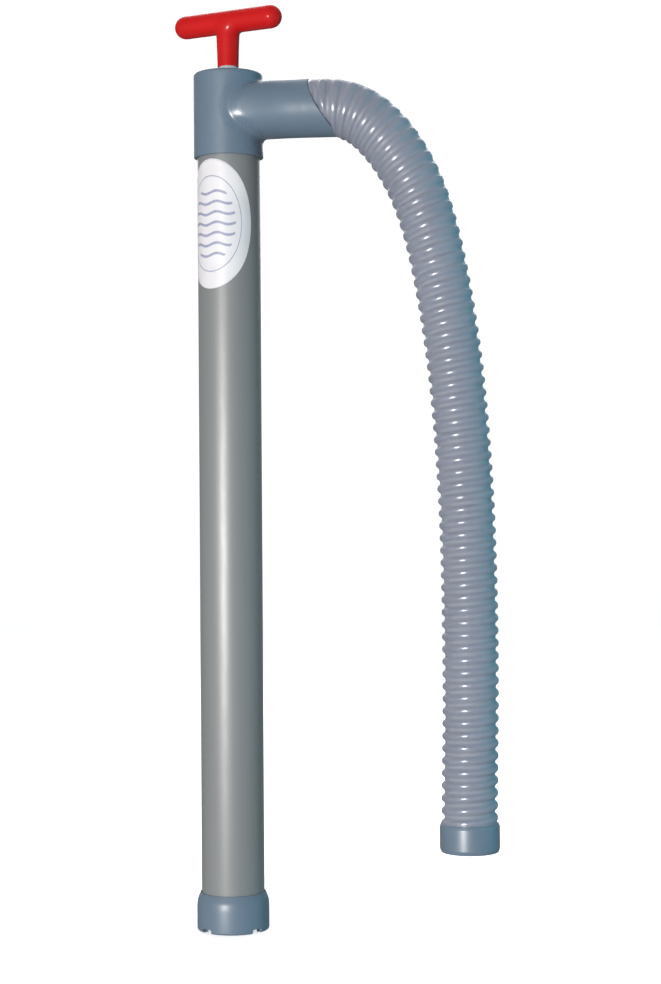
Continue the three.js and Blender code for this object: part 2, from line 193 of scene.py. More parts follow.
class Nodes:
    """A small helper that adds and links shader nodes."""

    def __init__(self, name):
        self.material = bpy.data.materials.new(name)
        self.material.use_nodes = True
        self.tree = self.material.node_tree
        self.shader = self.tree.nodes["Principled BSDF"]

    def add(self, kind, **settings):
        node = self.tree.nodes.new(kind)
        for key, value in settings.items():
            setattr(node, key, value)
        return node

    def link(self, source, target):
        self.tree.links.new(source, target)

    def coordinates(self, scale):
        place = self.add("ShaderNodeTexCoord")
        mapping = self.add("ShaderNodeMapping")
        mapping.inputs["Scale"].default_value = scale
        self.link(place.outputs["Object"], mapping.inputs["Vector"])
        return mapping.outputs["Vector"]

    def noise(self, scale, detail=4.0, stretch=(1, 1, 1), roughness=0.5):
        node = self.add("ShaderNodeTexNoise")
        node.inputs["Scale"].default_value = scale
        node.inputs["Detail"].default_value = detail
        node.inputs["Roughness"].default_value = roughness
        self.link(self.coordinates(stretch), node.inputs["Vector"])
        return node.outputs["Fac"]

    def spread(self, value, low, high, start=0.3, end=0.7):
        node = self.add("ShaderNodeMapRange")
        node.inputs["From Min"].default_value = start
        node.inputs["From Max"].default_value = end
        node.inputs["To Min"].default_value = low
        node.inputs["To Max"].default_value = high
        self.link(value, node.inputs["Value"])
        return node.outputs["Result"]

    def mix(self, amount, first, second, blend="MIX"):
        node = self.add("ShaderNodeMix", data_type="RGBA", blend_type=blend)
        for socket, value in ((node.inputs[0], amount), (node.inputs[6], first), (node.inputs[7], second)):
            if hasattr(value, "is_linked") or hasattr(value, "node"):
                self.link(value, socket)
            else:
                socket.default_value = value
        return node.outputs[2]

    def bump(self, layers):
        """Bumps stacked from (height, distance in metres, strength) layers."""
        normal = None
        for height, distance, strength in layers:
            node = self.add("ShaderNodeBump")
            node.inputs["Distance"].default_value = distance
            node.inputs["Strength"].default_value = strength
            self.link(height, node.inputs["Height"])
            if normal is not None:
                self.link(normal, node.inputs["Normal"])
            normal = node.outputs["Normal"]
        self.link(normal, self.shader.inputs["Normal"])

    def set(self, **values):
        for name, value in values.items():
            self.shader.inputs[name.replace("_", " ")].default_value = value


def linear(red, green, blue):
    """A linear colour from an sRGB one given as 0 to 255."""
    def one(c):
        c /= 255
        return c / 12.92 if c <= 0.04045 else ((c + 0.055) / 1.055) ** 2.4
    return (one(red), one(green), one(blue), 1.0)


def shaded(colour, factor):
    return tuple(min(1.0, c * factor) for c in colour[:3]) + (1.0,)


def moulded_plastic(name, colour, roughness, contrast=0.06, specular=0.5, coat=0.0, gloss=0.3, polished=None):
    """Injection-moulded plastic: faint flow mottling, a fine spark-eroded grain and handling scuffs.

    Where the mesh has a "polish" attribute, the mould was smoother and so is the plastic.
    """
    m = Nodes(name)
    cloud = m.noise(38, 3)
    grain = m.noise(1900, 2)
    scuff = m.noise(260, 6, stretch=(1, 1, 0.35), roughness=0.7)
    base = m.mix(m.spread(cloud, 0, 1), shaded(colour, 1 - contrast), shaded(colour, 1 + contrast))
    worn = m.mix(m.spread(scuff, 0, 0.10, 0.60, 0.80), base, shaded(colour, 1.35))
    m.link(worn, m.shader.inputs["Base Color"])
    rough = m.spread(scuff, roughness - 0.03, roughness + 0.07)
    if polished is not None:
        polish = m.add("ShaderNodeAttribute", attribute_name="polish").outputs["Fac"]
        share = m.spread(polish, 1, polished / roughness)
        times = m.add("ShaderNodeMath", operation="MULTIPLY")
        m.link(rough, times.inputs[0])
        m.link(share, times.inputs[1])
        rough = times.outputs[0]
    m.link(rough, m.shader.inputs["Roughness"])
    m.bump([(grain, 0.04 * MM, 0.18), (cloud, 0.25 * MM, 0.12)])
    m.set(Specular_IOR_Level=specular, Coat_Weight=coat, Coat_Roughness=gloss)
    return m.material


def pipe_plastic(name, colour, roughness, coat=0.0):
    """Extruded rigid pipe: long fine draw lines, a soft waviness and a few rubbed marks."""
    m = Nodes(name)
    lines = m.noise(900, 3, stretch=(1, 1, 0.012))
    broad = m.noise(60, 3, stretch=(1, 1, 0.05))
    marks = m.noise(190, 7, stretch=(1, 1, 0.25), roughness=0.75)
    drawn = m.mix(m.spread(lines, 0, 1), shaded(colour, 0.965), shaded(colour, 1.035))
    waved = m.mix(m.spread(broad, 0.0, 0.5), drawn, shaded(colour, 1.05))
    rubbed = m.mix(m.spread(marks, 0, 0.16, 0.60, 0.78), waved, shaded(colour, 1.3))
    m.link(rubbed, m.shader.inputs["Base Color"])
    m.link(m.spread(marks, roughness - 0.02, roughness + 0.08), m.shader.inputs["Roughness"])
    m.bump([(lines, 0.03 * MM, 0.12), (broad, 0.2 * MM, 0.10)])
    m.set(Specular_IOR_Level=1.0, Coat_Weight=coat, Coat_Roughness=0.4)
    return m.material


def hose_plastic(name, colour, painted_valley_light, roughness):
    """Soft corrugated hose: a little light passes into it, and its crests are polished by handling. Its
    valleys are painted a little paler, which is painted light that offsets the shade in them.
    """
    m = Nodes(name)
    rib = m.add("ShaderNodeAttribute", attribute_name="rib").outputs["Fac"]
    cloud = m.noise(45, 3)
    grain = m.noise(1500, 2)
    skin = m.mix(m.spread(cloud, 0, 1), shaded(colour, 0.96), shaded(colour, 1.04))
    # the valleys get a paler colour: painted light that offsets the shade that falls in them
    valleys_painted_lighter = m.mix(m.spread(rib, 1, 0, 0.0, 0.75), skin, painted_valley_light)
    m.link(valleys_painted_lighter, m.shader.inputs["Base Color"])
    m.link(m.spread(rib, roughness + 0.4, roughness, 0.3, 0.95), m.shader.inputs["Roughness"])
    m.link(m.spread(rib, 0, 0.55, 0.4, 0.95), m.shader.inputs["Coat Weight"])
    m.bump([(grain, 0.04 * MM, 0.15), (cloud, 0.2 * MM, 0.15)])
    m.set(Specular_IOR_Level=0.9, Coat_Roughness=0.24)
    m.set(Subsurface_Weight=0.75, Subsurface_Radius=(1, 1, 1), Subsurface_Scale=5 * MM)
    return m.material


def rubber(name, colour):
    """Moulded rubber: matt, with a pale bloom and a fine pitted skin."""
    m = Nodes(name)
    bloom = m.noise(70, 5, roughness=0.65)
    pits = m.noise(1400, 3)
    bloomed = m.mix(m.spread(bloom, 0, 0.5, 0.45, 0.75), colour, shaded(colour, 2.6))
    m.link(bloomed, m.shader.inputs["Base Color"])
    m.link(m.spread(bloom, 0.55, 0.75), m.shader.inputs["Roughness"])
    m.bump([(pits, 0.06 * MM, 0.25)])
    return m.material


def turned_steel(name):
    """Stainless steel with the rings that a lathe leaves and light smudges."""
    m = Nodes(name)
    rings = m.noise(2600, 3, stretch=(0.05, 0.05, 1))
    smudge = m.noise(120, 4)
    grey = (0.62, 0.63, 0.65, 1)
    m.link(m.mix(m.spread(rings, 0, 1), shaded(grey, 0.9), shaded(grey, 1.08)), m.shader.inputs["Base Color"])
    m.link(m.spread(smudge, 0.22, 0.38), m.shader.inputs["Roughness"])
    m.bump([(rings, 0.02 * MM, 0.2)])
    m.set(Metallic=1.0)
    return m.material


BLUE_GREY = linear(106, 126, 145)
PIPE_GREY = linear(134, 138, 140)
HOSE_LAVENDER = linear(146, 152, 168)
# paler than the hose: painted light for the rib valleys, offsetting their shade
HOSE_PAINTED_VALLEY_LIGHT = linear(152, 158, 172)
HANDLE_RED = linear(208, 24, 26)
ROD_GREY = linear(196, 200, 204)
RUBBER_BLACK = (0.02, 0.02, 0.022, 1)

HEAD = moulded_plastic("blue_grey_head", BLUE_GREY, 0.47, specular=0.6, polished=0.26)
FITTING = moulded_plastic("blue_grey_moulding", BLUE_GREY, 0.40, specular=0.8, coat=0.2)
CUFF = moulded_plastic("blue_grey_cuff", BLUE_GREY, 0.36, specular=1.0, coat=0.6)
GRIP_RED = moulded_plastic(
    "red_moulding", HANDLE_RED, 0.55, contrast=0.03, specular=0.15, coat=0.25, gloss=0.17,
)
PIPE = pipe_plastic("grey_pipe", PIPE_GREY, 0.43, coat=0.8)
ROD = pipe_plastic("pale_rod", ROD_GREY, 0.35)
HOSE = hose_plastic("lavender_hose", HOSE_LAVENDER, HOSE_PAINTED_VALLEY_LIGHT, 0.30)
RUBBER = rubber("black_rubber", RUBBER_BLACK)
STEEL = turned_steel("stainless_steel")

# ---------------------------------------------------------------- camera

CAMERA_AZIMUTH = math.radians(11)
CAMERA_DISTANCE = 1.350
CAMERA_HEIGHT = 0.294
CAMERA_ASIDE = 0.0673      # the view's middle is this far to the right of the barrel's axis
CAMERA_ROLL = math.radians(0.36)
CAMERA_LENS = 73.17073      # the lens and its sensor are in millimetres, as Blender takes them
CAMERA_SENSOR = 36.0


def make_camera():
    right = Vector((math.cos(CAMERA_AZIMUTH), math.sin(CAMERA_AZIMUTH), 0))
    back = Vector((math.sin(CAMERA_AZIMUTH), -math.cos(CAMERA_AZIMUTH), 0))
    data = bpy.data.cameras.new("camera")
    data.sensor_width = CAMERA_SENSOR
    data.lens = CAMERA_LENS
    data.clip_start = 0.01
    camera = bpy.data.objects.new("camera", data)
    bpy.context.scene.collection.objects.link(camera)
    upright = Matrix((right, (0, 0, 1), back)).transposed()
    camera.matrix_world = upright.to_4x4() @ Matrix.Rotation(-CAMERA_ROLL, 4, "Z")
    camera.location = right * CAMERA_ASIDE + back * CAMERA_DISTANCE + Vector((0, 0, CAMERA_HEIGHT))
    bpy.context.scene.camera = camera


make_camera()

# ---------------------------------------------------------------- hose


class Tee:
    """The tee's dimensions, from the CAD node's box and its few inner sizes."""

    low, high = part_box("head_tee")
    run_r = high.y
    rim = 2.0 * MM
    lower = 0.6 * MM
    bore_r = 18.9 * MM
    socket_r = 21.45 * MM
    socket_top = 534.8 * MM
    root_r = 19.0 * MM
    swell = 0.2316
    swell_x = 13 * MM
    swell_nose = 21 * MM
    swell_tail = 36 * MM
    mouth_r = 19.8 * MM
    longest = 76.9 * MM
    shortest = 55.3 * MM
    hollow_mouth = 2.9 * MM
    passage_r = 16.0 * MM
    hose_socket_r = 18.9 * MM
    hose_stop = 40.7 * MM


def mouth_reach(phi, radius):
    """How far along X the slanting, slightly hollowed mouth lies at an angle and radius."""
    middle = (Tee.longest + Tee.shortest) / 2
    slope = (Tee.longest - Tee.shortest) / (2 * Tee.mouth_r)
    return middle - slope * radius * np.cos(phi) - Tee.hollow_mouth * np.sin(phi) ** 2


def smooth_route(points, per_span=16):
    """The centripetal Catmull-Rom curve through the points, its ends carried straight on."""
    points = [np.array(p, float) for p in points]
    points = [2 * points[0] - points[1]] + points + [2 * points[-1] - points[-2]]
    out = []
    for p0, p1, p2, p3 in zip(points, points[1:], points[2:], points[3:]):
        t0 = 0.0
        t1 = t0 + math.sqrt(np.linalg.norm(p1 - p0))
        t2 = t1 + math.sqrt(np.linalg.norm(p2 - p1))
        t3 = t2 + math.sqrt(np.linalg.norm(p3 - p2))
        for t in np.linspace(t1, t2, per_span, endpoint=False):
            a1 = ((t1 - t) * p0 + (t - t0) * p1) / (t1 - t0)
            a2 = ((t2 - t) * p1 + (t - t1) * p2) / (t2 - t1)
            a3 = ((t3 - t) * p2 + (t - t2) * p3) / (t3 - t2)
            b1 = ((t2 - t) * a1 + (t - t0) * a2) / (t2 - t0)
            b2 = ((t3 - t) * a2 + (t - t1) * a3) / (t3 - t1)
            out.append(((t2 - t) * b1 + (t - t1) * b2) / (t2 - t1))
    out.append(points[-2])
    return np.array(out)


def along(route, step):
    """Evenly spaced distances, points and tangent angles along a route in the XZ plane."""
    gaps = np.linalg.norm(np.diff(route, axis=0), axis=1)
    length = np.concatenate([[0], np.cumsum(gaps)])
    distance = np.linspace(0, length[-1], int(round(length[-1] / step)) + 1)
    x = np.interp(distance, length, route[:, 0])
    z = np.interp(distance, length, route[:, 1])
    turn = np.unwrap(np.arctan2(np.gradient(route[:, 1]), np.gradient(route[:, 0])))
    return distance, x, z, np.interp(distance, length, turn)


def smoothstep(value, low, high):
    t = np.clip((value - low) / (high - low), 0, 1)
    return t * t * (3 - 2 * t)


def rib_height(phase):
    """1 on a rib's crowned crest and 0 in the valley, for a phase counted in pitches."""
    gap = np.abs((phase + 0.5) % 1 - 0.5)
    crown = 0.12 * (np.minimum(gap, 0.17) / 0.17) ** 2
    return (1 - crown) * (1 - smoothstep(gap, 0.14, 0.41))


def sweep(x, z, angle, normal, side):
    """Rows of points round a route, from each point's offsets in the route's plane and across it."""
    nx, nz = -np.sin(angle)[:, None], np.cos(angle)[:, None]
    return np.stack([x[:, None] + nx * normal, side, z[:, None] + nz * normal], axis=-1)


def make_hose():
    route = smooth_route(HOSE_ROUTE)
    distance, x, z, angle = along(route, HOSE_PITCH / 16)
    around = np.linspace(0, TAU, HOSE_COLUMNS, endpoint=False)
    # the bend opens the hose and makes its ribs shallow, and they end where the cuff is moulded on
    straighter = smoothstep(distance, *HOSE_NARROWS)
    crest = HOSE_CREST_R_IN_BEND + (HOSE_CREST_R - HOSE_CREST_R_IN_BEND) * straighter
    deeper = smoothstep(distance, *HOSE_DEEPENS)
    depth = HOSE_RIB_DEPTH_IN_BEND + (HOSE_RIB_DEPTH - HOSE_RIB_DEPTH_IN_BEND) * deeper
    cuff_top = distance[-1] - (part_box("hose_cuff")[1].z - HOSE_ROUTE[-1][1])
    depth = (depth * (1 - smoothstep(distance, cuff_top - 3 * MM, cuff_top + 1 * MM)))[:, None]
    # inside the spout the hose is drawn in to the socket, up to the slanting mouth
    out = x[:, None] - mouth_reach(around[None, :], Tee.hose_socket_r)
    crest = HOSE_END_R + (crest[:, None] - HOSE_END_R) * smoothstep(out, 0.5 * MM, 5 * MM)
    phase = distance[:, None] / HOSE_PITCH + around[None, :] / TAU
    radius = crest - depth * (1 - rib_height(phase))
    cosine, sine = np.cos(around)[None, :], np.sin(around)[None, :]
    outer = sweep(x, z, angle, radius * cosine, radius * sine)
    inner = sweep(x, z, angle, HOSE_BORE_R * cosine, HOSE_BORE_R * sine + 0 * x[:, None])[::-1]
    inner = np.concatenate([inner[:1], inner[8:-8:8], inner[-1:]])
    rows = np.concatenate([outer, inner])
    faces = grid_faces(len(rows), HOSE_COLUMNS, close_rows=True)
    obj = new_object("hose_corrugated", rows.reshape(-1, 3), faces, 60)
    rib = np.concatenate([1 - (1 - rib_height(phase)) * depth / HOSE_RIB_DEPTH, np.zeros(inner.shape[:2])])
    attribute = obj.data.attributes.new("rib", "FLOAT", "POINT")
    attribute.data.foreach_set("value", rib.ravel().astype(np.float32))
    return obj, route


def make_cuff():
    low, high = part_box("hose_cuff")
    centre = ((low.x + high.x) / 2, 0.0)
    outer = (high.x - low.x) / 2
    lip = 1.7 * MM
    profile = rounded([
        (15.6 * MM, low.z, 0.4 * MM), (outer - 0.9 * MM, low.z, 0.8 * MM), (outer, low.z + 2.6 * MM, 2 * MM),
        (outer, high.z - 2.4 * MM, 1.5 * MM), (outer - 0.7 * MM, high.z - 0.2 * MM, 0.4 * MM),
        (18.6 * MM, high.z, 0.2 * MM), (18.55 * MM, low.z + lip, 0.3 * MM),
        (15.6 * MM, low.z + lip, 0.3 * MM),
    ], steps=6)
    return turned("hose_cuff_fine", profile, 160, centre)


hose, hose_centreline = make_hose()
finish_piece(hose, "barrel", "hose_plastic", HOSE, "hose")
cuff = make_cuff()
finish_piece(cuff, "barrel", "fitting_plastic", CUFF, "hose_cuff")

# ---------------------------------------------------------------- head tee

HEAD_SIDE_STEPS = 20
HEAD_EDGE_STEPS = 72
HEAD_POLISH_REACH = 7 * MM          # how far the polish beside the crease fades out
TEE_TOP_ANGLE = math.radians(55)


def tee_angles():
    """Angles round the spout, from its top towards +Y, matched to the run's unrolled rectangle."""
    a, b = TEE_TOP_ANGLE, math.pi - TEE_TOP_ANGLE
    top = np.linspace(-a, a, HEAD_EDGE_STEPS, endpoint=False)
    right = np.linspace(a, b, HEAD_SIDE_STEPS, endpoint=False)
    bottom = np.linspace(b, TAU - b, HEAD_EDGE_STEPS, endpoint=False)
    left = np.linspace(TAU - b, TAU - a, HEAD_SIDE_STEPS, endpoint=False)
    return np.concatenate([top, right, bottom, left])


def tee_rectangle(bottom, top):
    """The unrolled run's outline as (angle about Z, height) points, matched to tee_angles."""
    turn = np.linspace(-math.pi, math.pi, HEAD_EDGE_STEPS, endpoint=False)
    fall = np.linspace(top, bottom, HEAD_SIDE_STEPS, endpoint=False)
    rise = np.linspace(bottom, top, HEAD_SIDE_STEPS, endpoint=False)
    side = np.full(HEAD_SIDE_STEPS, math.pi)
    theta = np.concatenate([turn, side, -turn, -side])
    edge_top = np.full(HEAD_EDGE_STEPS, top)
    edge_bottom = np.full(HEAD_EDGE_STEPS, bottom)
    return theta, np.concatenate([edge_top, fall, edge_bottom, rise])


def pierced_cylinder(radius, bottom, top, hole, layers=26):
    """Rows of points on an upright cylinder, from a hole's edge out to the unrolled rectangle's edge."""
    theta_out, z_out = tee_rectangle(bottom, top)
    theta_in = np.arctan2(hole[:, 1], hole[:, 0])
    rows = []
    for t in np.linspace(0, 1, layers):
        theta = (1 - t) * theta_in + t * theta_out
        z = (1 - t) * hole[:, 2] + t * z_out
        rows.append(np.stack([radius * np.cos(theta), radius * np.sin(theta), z], axis=-1))
    return rows


def spout_radius(x, phi):
    """The spout's outside: wider than high and squarish where it leaves the run, round at its mouth."""
    start, end = 26 * MM, Tee.longest + 5 * MM
    high = Tee.root_r + (Tee.mouth_r - Tee.root_r) * np.clip((x - start) / (end - start), 0, 1)
    behind = x - Tee.swell_x
    nose = 1 - (behind / Tee.swell_nose) ** 2
    tail = (1 + np.cos(np.pi * np.clip(behind / Tee.swell_tail, 0, 1))) / 2
    swell = np.where(behind < 0, nose, tail)
    power = 2 + 0.6 * np.clip(swell, 0, 1)
    across = np.abs(np.sin(phi)) / (high * (1 + Tee.swell * swell))
    return (across ** power + (np.abs(np.cos(phi)) / high) ** power) ** (-1 / power)


def spout_point(x, phi):
    r = spout_radius(x, phi)
    return np.stack([x, r * np.sin(phi), SPOUT_Z + r * np.cos(phi)], axis=-1)


def crease_reach(phi):
    """Where along X the spout comes out of the run, at each angle round the spout."""
    low, high = np.zeros_like(phi), np.full_like(phi, Tee.run_r + 2 * MM)
    for _ in range(40):
        middle = (low + high) / 2
        inside = middle ** 2 + (spout_radius(middle, phi) * np.sin(phi)) ** 2 < Tee.run_r ** 2
        low, high = np.where(inside, middle, low), np.where(inside, high, middle)
    return (low + high) / 2


def saddle_width(phi):
    """How far the blend reaches from the crease: tight above and at the sides, fuller below."""
    return 1.6 * MM + 2.2 * MM * np.clip(-np.cos(phi), 0, 1) ** 2


def saddle_rows(phi, steps=8):
    """Rows of points from the run's surface across the blended crease to the spout's surface."""
    reach = crease_reach(phi)
    width = saddle_width(phi)
    crease = spout_point(reach, phi)
    flat = np.stack([Tee.run_r * np.arctan2(crease[:, 1], crease[:, 0]), crease[:, 2]], axis=-1)
    along_crease = np.roll(flat, -1, axis=0) - np.roll(flat, 1, axis=0)
    outwards = np.stack([along_crease[:, 1], -along_crease[:, 0]], axis=-1)
    outwards /= np.linalg.norm(outwards, axis=1)[:, None]
    outwards *= np.sign((outwards * (flat - [0, SPOUT_Z])).sum(axis=1))[:, None]
    turn, z = ((flat + outwards * width[:, None]) / [Tee.run_r, 1]).T
    on_run = np.stack([Tee.run_r * np.cos(turn), Tee.run_r * np.sin(turn), z], axis=-1)
    on_spout = spout_point(reach + width, phi)
    return [
        (1 - t) ** 2 * on_run + 2 * t * (1 - t) * crease + t ** 2 * on_spout
        for t in np.linspace(0, 1, steps + 1)
    ]


def spout_rows(phi, start, end, radius, steps):
    """Rows of points along the spout from x = start to x = end, each of them given for every angle."""
    rows = []
    for t in np.linspace(0, 1, steps + 1):
        x = (1 - t) * start + t * end
        r = radius(x, phi)
        rows.append(np.stack([x, r * np.sin(phi), SPOUT_Z + r * np.cos(phi)], axis=-1))
    return rows


def lip_rows(phi, steps=6):
    """The rounded lip of the mouth, from its outside to its inside."""
    outer = spout_radius(mouth_reach(phi, Tee.mouth_r), phi)
    middle_r = (outer + Tee.hose_socket_r) / 2
    half = (outer - Tee.hose_socket_r) / 2
    rows = []
    for t in np.linspace(0, math.pi, steps + 1)[1:-1]:
        r = middle_r + half * math.cos(t)
        x = mouth_reach(phi, r) - half * (1 - math.sin(t))
        rows.append(np.stack([x, r * np.sin(phi), SPOUT_Z + r * np.cos(phi)], axis=-1))
    return rows


def edge_rows(profile, upper):
    """Full turns of (radius, height) points, at the angles of the rectangle's upper or lower edge."""
    turn = np.linspace(-math.pi, math.pi, HEAD_EDGE_STEPS + 1)
    turn = turn if upper else -turn
    return [
        np.stack([r * np.cos(turn), r * np.sin(turn), np.full_like(turn, z)], axis=-1)
        for r, z in profile
    ]


def make_head():
    phi = tee_angles()
    vertices, faces = [], []

    def add(rows, closed=True):
        rows = np.array(rows)
        faces.extend(grid_faces(rows.shape[0], rows.shape[1], close_columns=closed, offset=len(vertices)))
        vertices.extend(rows.reshape(-1, 3))

    blend = saddle_rows(phi)
    half_lip = (Tee.mouth_r - Tee.hose_socket_r) / 2
    outer_end = mouth_reach(phi, Tee.mouth_r) - half_lip
    inner_end = mouth_reach(phi, Tee.hose_socket_r) - half_lip
    outside = spout_rows(phi, blend[-1][:, 0], outer_end, spout_radius, 30)
    stop = np.full_like(phi, Tee.hose_stop)
    socket = spout_rows(phi, inner_end, stop, lambda x, phi: Tee.hose_socket_r + 0 * x, 8)
    passage_start = np.sqrt(Tee.bore_r ** 2 - (Tee.passage_r * np.sin(phi)) ** 2)
    passage = spout_rows(phi, stop, passage_start, lambda x, phi: Tee.passage_r + 0 * x, 6)
    add(blend + outside[1:] + lip_rows(phi) + socket + passage)

    top, bottom = Tee.high.z, Tee.low.z
    add(pierced_cylinder(Tee.run_r, bottom + Tee.lower, top - Tee.rim, blend[0]))
    add(pierced_cylinder(Tee.bore_r, Tee.socket_top, top, passage[-1], 14))
    rim = arc(Tee.run_r - Tee.rim, top - Tee.rim, Tee.rim, 0, 90, 8)
    add(edge_rows(rim + [(Tee.bore_r, top)], True), closed=False)
    lower = arc(Tee.run_r - Tee.lower, bottom + Tee.lower, Tee.lower, 0, -90, 5)
    inside = [(Tee.socket_r, bottom), (Tee.socket_r, Tee.socket_top), (Tee.bore_r, Tee.socket_top)]
    add(edge_rows(lower + inside, False), closed=False)
    head = new_object("head_tee_fine", vertices, faces, 32)
    crease = np.array([point for row in blend[::4] for point in row[::3]])
    gap = [np.linalg.norm(crease - np.array(v.co), axis=1).min() for v in head.data.vertices]
    polish = head.data.attributes.new("polish", "FLOAT", "POINT")
    polish.data.foreach_set("value", np.exp(-(np.array(gap) / HEAD_POLISH_REACH) ** 2).astype(np.float32))
    return head


finish_piece(make_head(), "barrel", "fitting_plastic", HEAD, "head_tee")

# ---------------------------------------------------------------- barrel, guide and seal


TUBE_BORE_R = 18.7 * MM


def make_barrel():
    low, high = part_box("barrel_tube")
    profile = rounded(ring_profile(TUBE_BORE_R, high.x, low.z, high.z), 0.5 * MM)
    return turned("barrel_tube_fine", profile, 192)


def make_guide():
    low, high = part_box("rod_guide")
    bore, groove = 6.65 * MM, 9.4 * MM
    seal_low, seal_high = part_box("rod_seal")
    groove_low, groove_high = seal_low.z - 0.35 * MM, seal_high.z + 0.35 * MM
    profile = rounded([
        (bore, low.z, 0.6 * MM), (high.x, low.z), (high.x, high.z - 0.2 * MM, 0.3 * MM),
        (bore, high.z - 0.2 * MM, 0.8 * MM),
        (bore, groove_high, 0.1 * MM), (groove, groove_high, 0.2 * MM), (groove, groove_low, 0.2 * MM),
        (bore, groove_low, 0.1 * MM),
    ])
    return turned("rod_guide_fine", profile, 128)


def make_seal():
    low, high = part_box("rod_seal")
    wire = (high.z - low.z) / 2
    return turned("rod_seal_fine", arc(high.x - wire, low.z + wire, wire, 0, 337.5, 15), 128)


finish_piece(make_barrel(), "barrel", "barrel_plastic", PIPE, "barrel_tube")
finish_piece(make_guide(), "barrel", "fitting_plastic", FITTING, "rod_guide")
finish_piece(make_seal(), "barrel", "seal_rubber", RUBBER, "rod_seal")

# ---------------------------------------------------------------- foot and foot valve

INLETS = 4
INLET_R = 4.4 * MM
INLET_CIRCLE = 10.6 * MM
SEAT_POST_R = 5.6 * MM
FOOT_LEDGE_R = 17.5 * MM
FOOT_CROWN_R = 30 * MM
FOOT_SHOULDER_R = 10 * MM
NOTCHES = 4
NOTCH_TURN = math.radians(-34)


def drill(radius, centre, bottom, top):
    """A round cutter with its axis upright."""
    return turned("drill", [(0, bottom), (radius, bottom), (radius, top), (0, top)], 48, centre)


def inlet_drills(bottom, top):
    drills = []
    for i in range(INLETS):
        a = TAU * i / INLETS
        drills.append(drill(INLET_R, (INLET_CIRCLE * math.cos(a), INLET_CIRCLE * math.sin(a)), bottom, top))
    return drills


def notch_cutter(turn, radius, width, height):
    """A block with a rounded roof that cuts one inlet notch in the foot's rim."""
    half = width / 2
    corner = 1.2 * MM
    outline = [(-half, -2 * MM), (half, -2 * MM)]
    outline += [(half - corner + corner * math.cos(a), height - corner + corner * math.sin(a))
                for a in np.linspace(0, math.pi / 2, 6)]
    outline += [(-half + corner - corner * math.sin(a), height - corner + corner * math.cos(a))
                for a in np.linspace(0, math.pi / 2, 6)]
    reach = 4 * MM
    rows = [[(radius + side * reach, y, z) for y, z in outline] for side in (-1, 1)]
    count = len(outline)
    vertices = rows[0] + rows[1]
    faces = grid_faces(2, count) + [tuple(range(count)), tuple(range(2 * count - 1, count - 1, -1))]
    cutter = new_object("notch", vertices, faces)
    cutter.data.transform(Matrix.Rotation(turn, 4, "Z"))
    return cutter


def make_foot():
    low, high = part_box("foot_cap")
    outer = high.x
    skirt, socket = 20.5 * MM, 21.45 * MM
    ledge_low, ledge_high = 4.5 * MM, 8 * MM
    # the side is gently crowned towards its top, and rounds over into the shoulder
    shoulder = arc(outer - FOOT_CROWN_R, 15 * MM, FOOT_CROWN_R, 0, 8.6, 8)
    shoulder += arc(outer - 10.22 * MM, 18 * MM, FOOT_SHOULDER_R, 8.6, 22, 8)[1:]
    profile = rounded([
        (FOOT_LEDGE_R, ledge_low, 0.4 * MM), (skirt, ledge_low, 0.5 * MM), (skirt, low.z, 0.5 * MM),
        (outer, low.z, 1.6 * MM), *[(r, z, 0) for r, z in shoulder], (21.95 * MM, high.z, 0.3 * MM),
        (socket, high.z, 0.15 * MM), (socket, ledge_high, 0.3 * MM), (FOOT_LEDGE_R, ledge_high, 0.4 * MM),
    ], steps=8)
    foot = turned("foot_cap_fine", profile, 160)
    cutters = [notch_cutter(NOTCH_TURN + TAU * i / NOTCHES, outer, 8.5 * MM, 3 * MM) for i in range(NOTCHES)]
    boolean_cut(foot, cutters)
    shade(foot, 30)
    return foot


def make_seat():
    low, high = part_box("foot_valve_seat")
    under = 8.3 * MM
    bore = 2.3 * MM
    profile = rounded([
        (0, low.z), (SEAT_POST_R, low.z, 0.6 * MM), (SEAT_POST_R, under, 0.5 * MM), (high.x, under, 0.4 * MM),
        (high.x, high.z, 0.4 * MM), (bore, high.z, 0.3 * MM), (bore, under - 0.3 * MM, 0.1 * MM),
        (0, under - 0.3 * MM),
    ])
    seat = turned("foot_valve_seat_fine", profile, 128)
    boolean_cut(seat, inlet_drills(under - 2 * MM, high.z + 1 * MM))
    shade(seat, 30)
    return seat


def make_valve_pin():
    low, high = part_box("foot_valve_pin")
    head = high.z - 2 * MM
    profile = rounded([
        (0, low.z), (2 * MM, low.z, 0.4 * MM), (2 * MM, head, 0.2 * MM), (high.x, head, 0.3 * MM),
        (high.x, high.z - 0.6 * MM, 0.5 * MM), (high.x - 1.6 * MM, high.z, 1.5 * MM), (0, high.z),
    ])
    return turned("foot_valve_pin_fine", profile, 64)


def make_valve_disc():
    low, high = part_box("foot_valve_disc")
    profile = rounded([
        (2.6 * MM, low.z), (high.x, low.z, 0.3 * MM), (high.x, high.z, 0.6 * MM),
        (high.x - 2.2 * MM, high.z, 0.3 * MM), (high.x - 2.8 * MM, high.z - 0.3 * MM, 0.3 * MM),
        (6.8 * MM, high.z - 0.3 * MM, 0.3 * MM), (6.2 * MM, high.z, 0.3 * MM), (2.6 * MM, high.z),
    ], 0.25 * MM)
    return turned("foot_valve_disc_fine", profile, 128)


finish_piece(make_foot(), "barrel", "fitting_plastic", FITTING, "foot_cap")
finish_piece(make_seat(), "barrel", "fitting_plastic", FITTING, "foot_valve_seat")
finish_piece(make_valve_pin(), "barrel", "stainless_steel", STEEL, "foot_valve_pin")
finish_piece(make_valve_disc(), "foot_valve", "seal_rubber", RUBBER, "foot_valve_disc")

# ---------------------------------------------------------------- piston


def make_piston_body():
    low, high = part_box("piston_body")
    flange = low.z + 4 * MM
    profile = rounded([
        (2.8 * MM, low.z), (high.x, low.z, 0.6 * MM), (high.x, flange, 0.6 * MM), (8 * MM, flange, 0.8 * MM),
        (8 * MM, high.z, 0.4 * MM), (2.8 * MM, high.z),
    ], 0.2 * MM)
    return turned("piston_body_fine", profile, 128)


